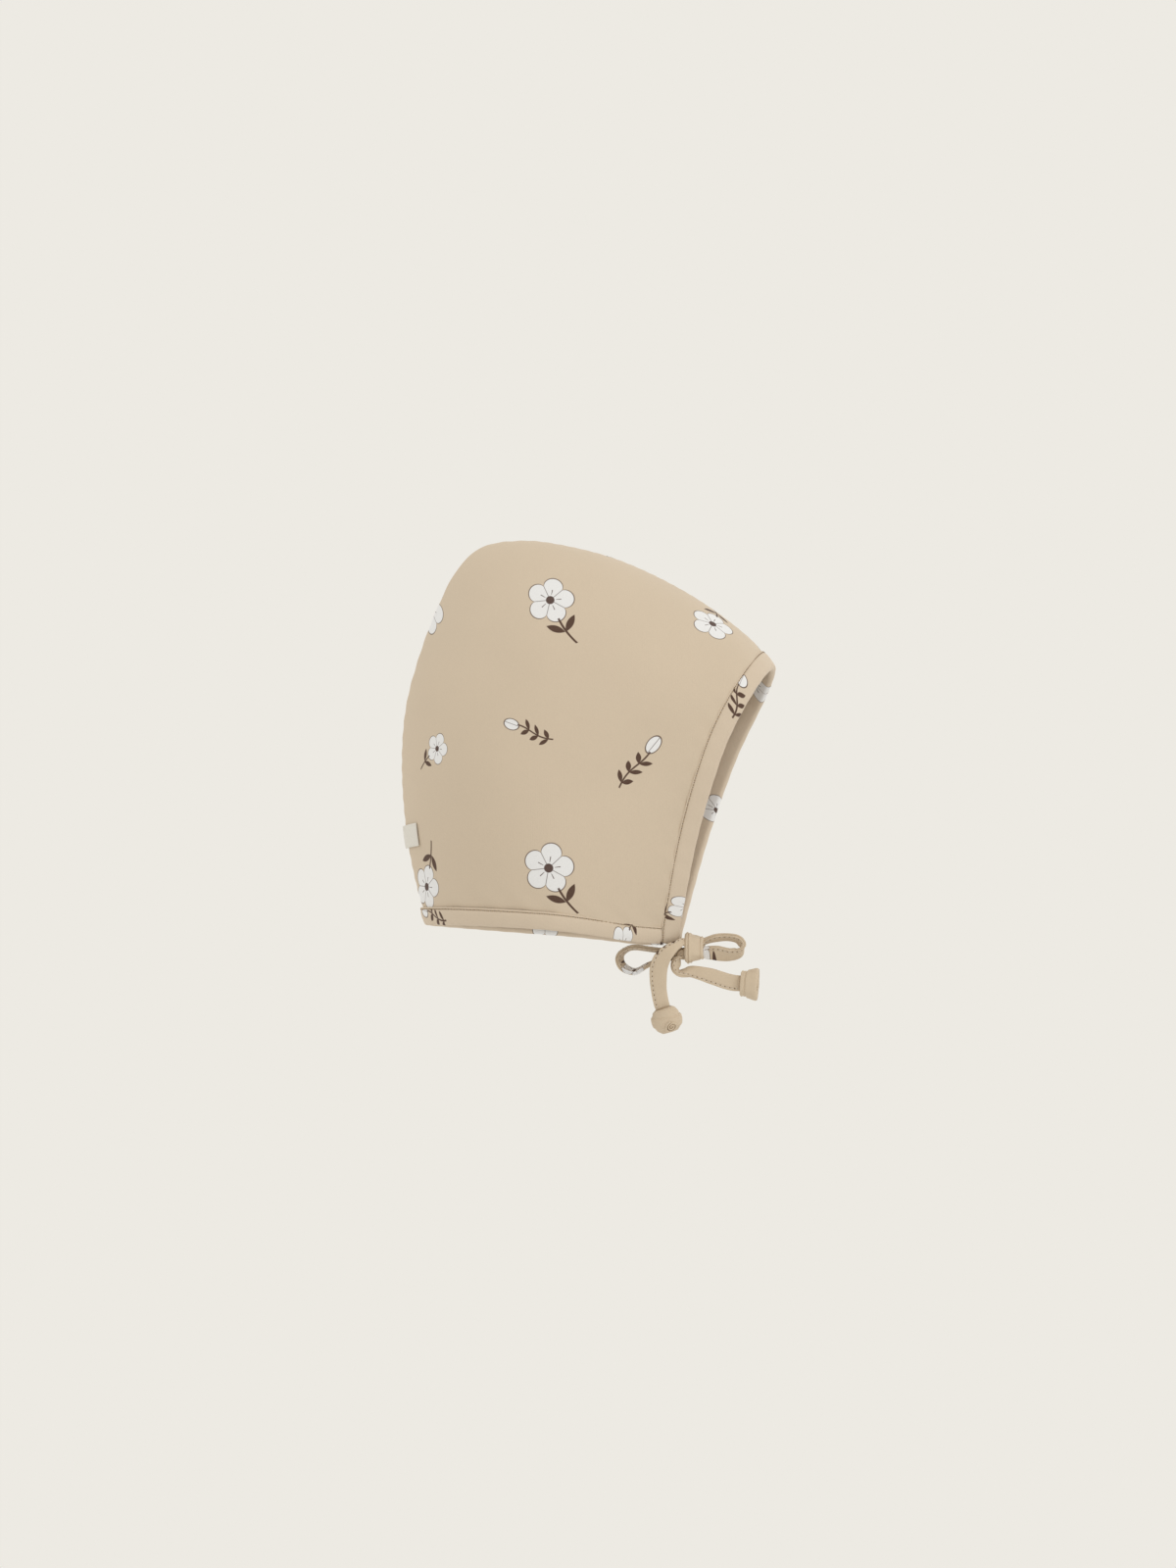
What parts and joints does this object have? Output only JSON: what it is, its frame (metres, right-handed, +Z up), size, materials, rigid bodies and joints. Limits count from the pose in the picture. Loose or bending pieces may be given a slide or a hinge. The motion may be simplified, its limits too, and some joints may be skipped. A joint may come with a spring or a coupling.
{
  "type": "pixie bonnet",
  "caption": "Baby's pixie bonnet of printed jersey: two side panels with a soft point at the back, bound face and neck edges, and ties in a bow.",
  "frame": {"origin": "the inside of the crown on the centre seam, where the top of the head bears", "axes": "+Z up, the wearer faces -Y, the wearer's right side is -X"},
  "size_m": [0.1124, 0.1763, 0.2319],
  "materials": {
    "jersey": "fine matt cotton jersey, tan, with a scattered white and brown print",
    "binding": "the same jersey folded to a strip and stitched",
    "tie": "the same jersey as a folded and stitched strip",
    "tab": "cream woven tape, blank"
  },
  "bodies": {
    "root": {"side_panel_right": "jersey", "side_panel_left": "jersey", "face_binding": "binding", "neck_binding": "binding", "seam_label": "tab", "tie_right": "tie", "tie_left": "tie", "bow_knot": "tie", "bow_loop_front": "tie", "bow_loop_back": "tie", "tail_front": "tie", "tail_back": "tie", "end_knot_front": "tie", "end_knot_back": "tie"}
  },
  "joints": []
}
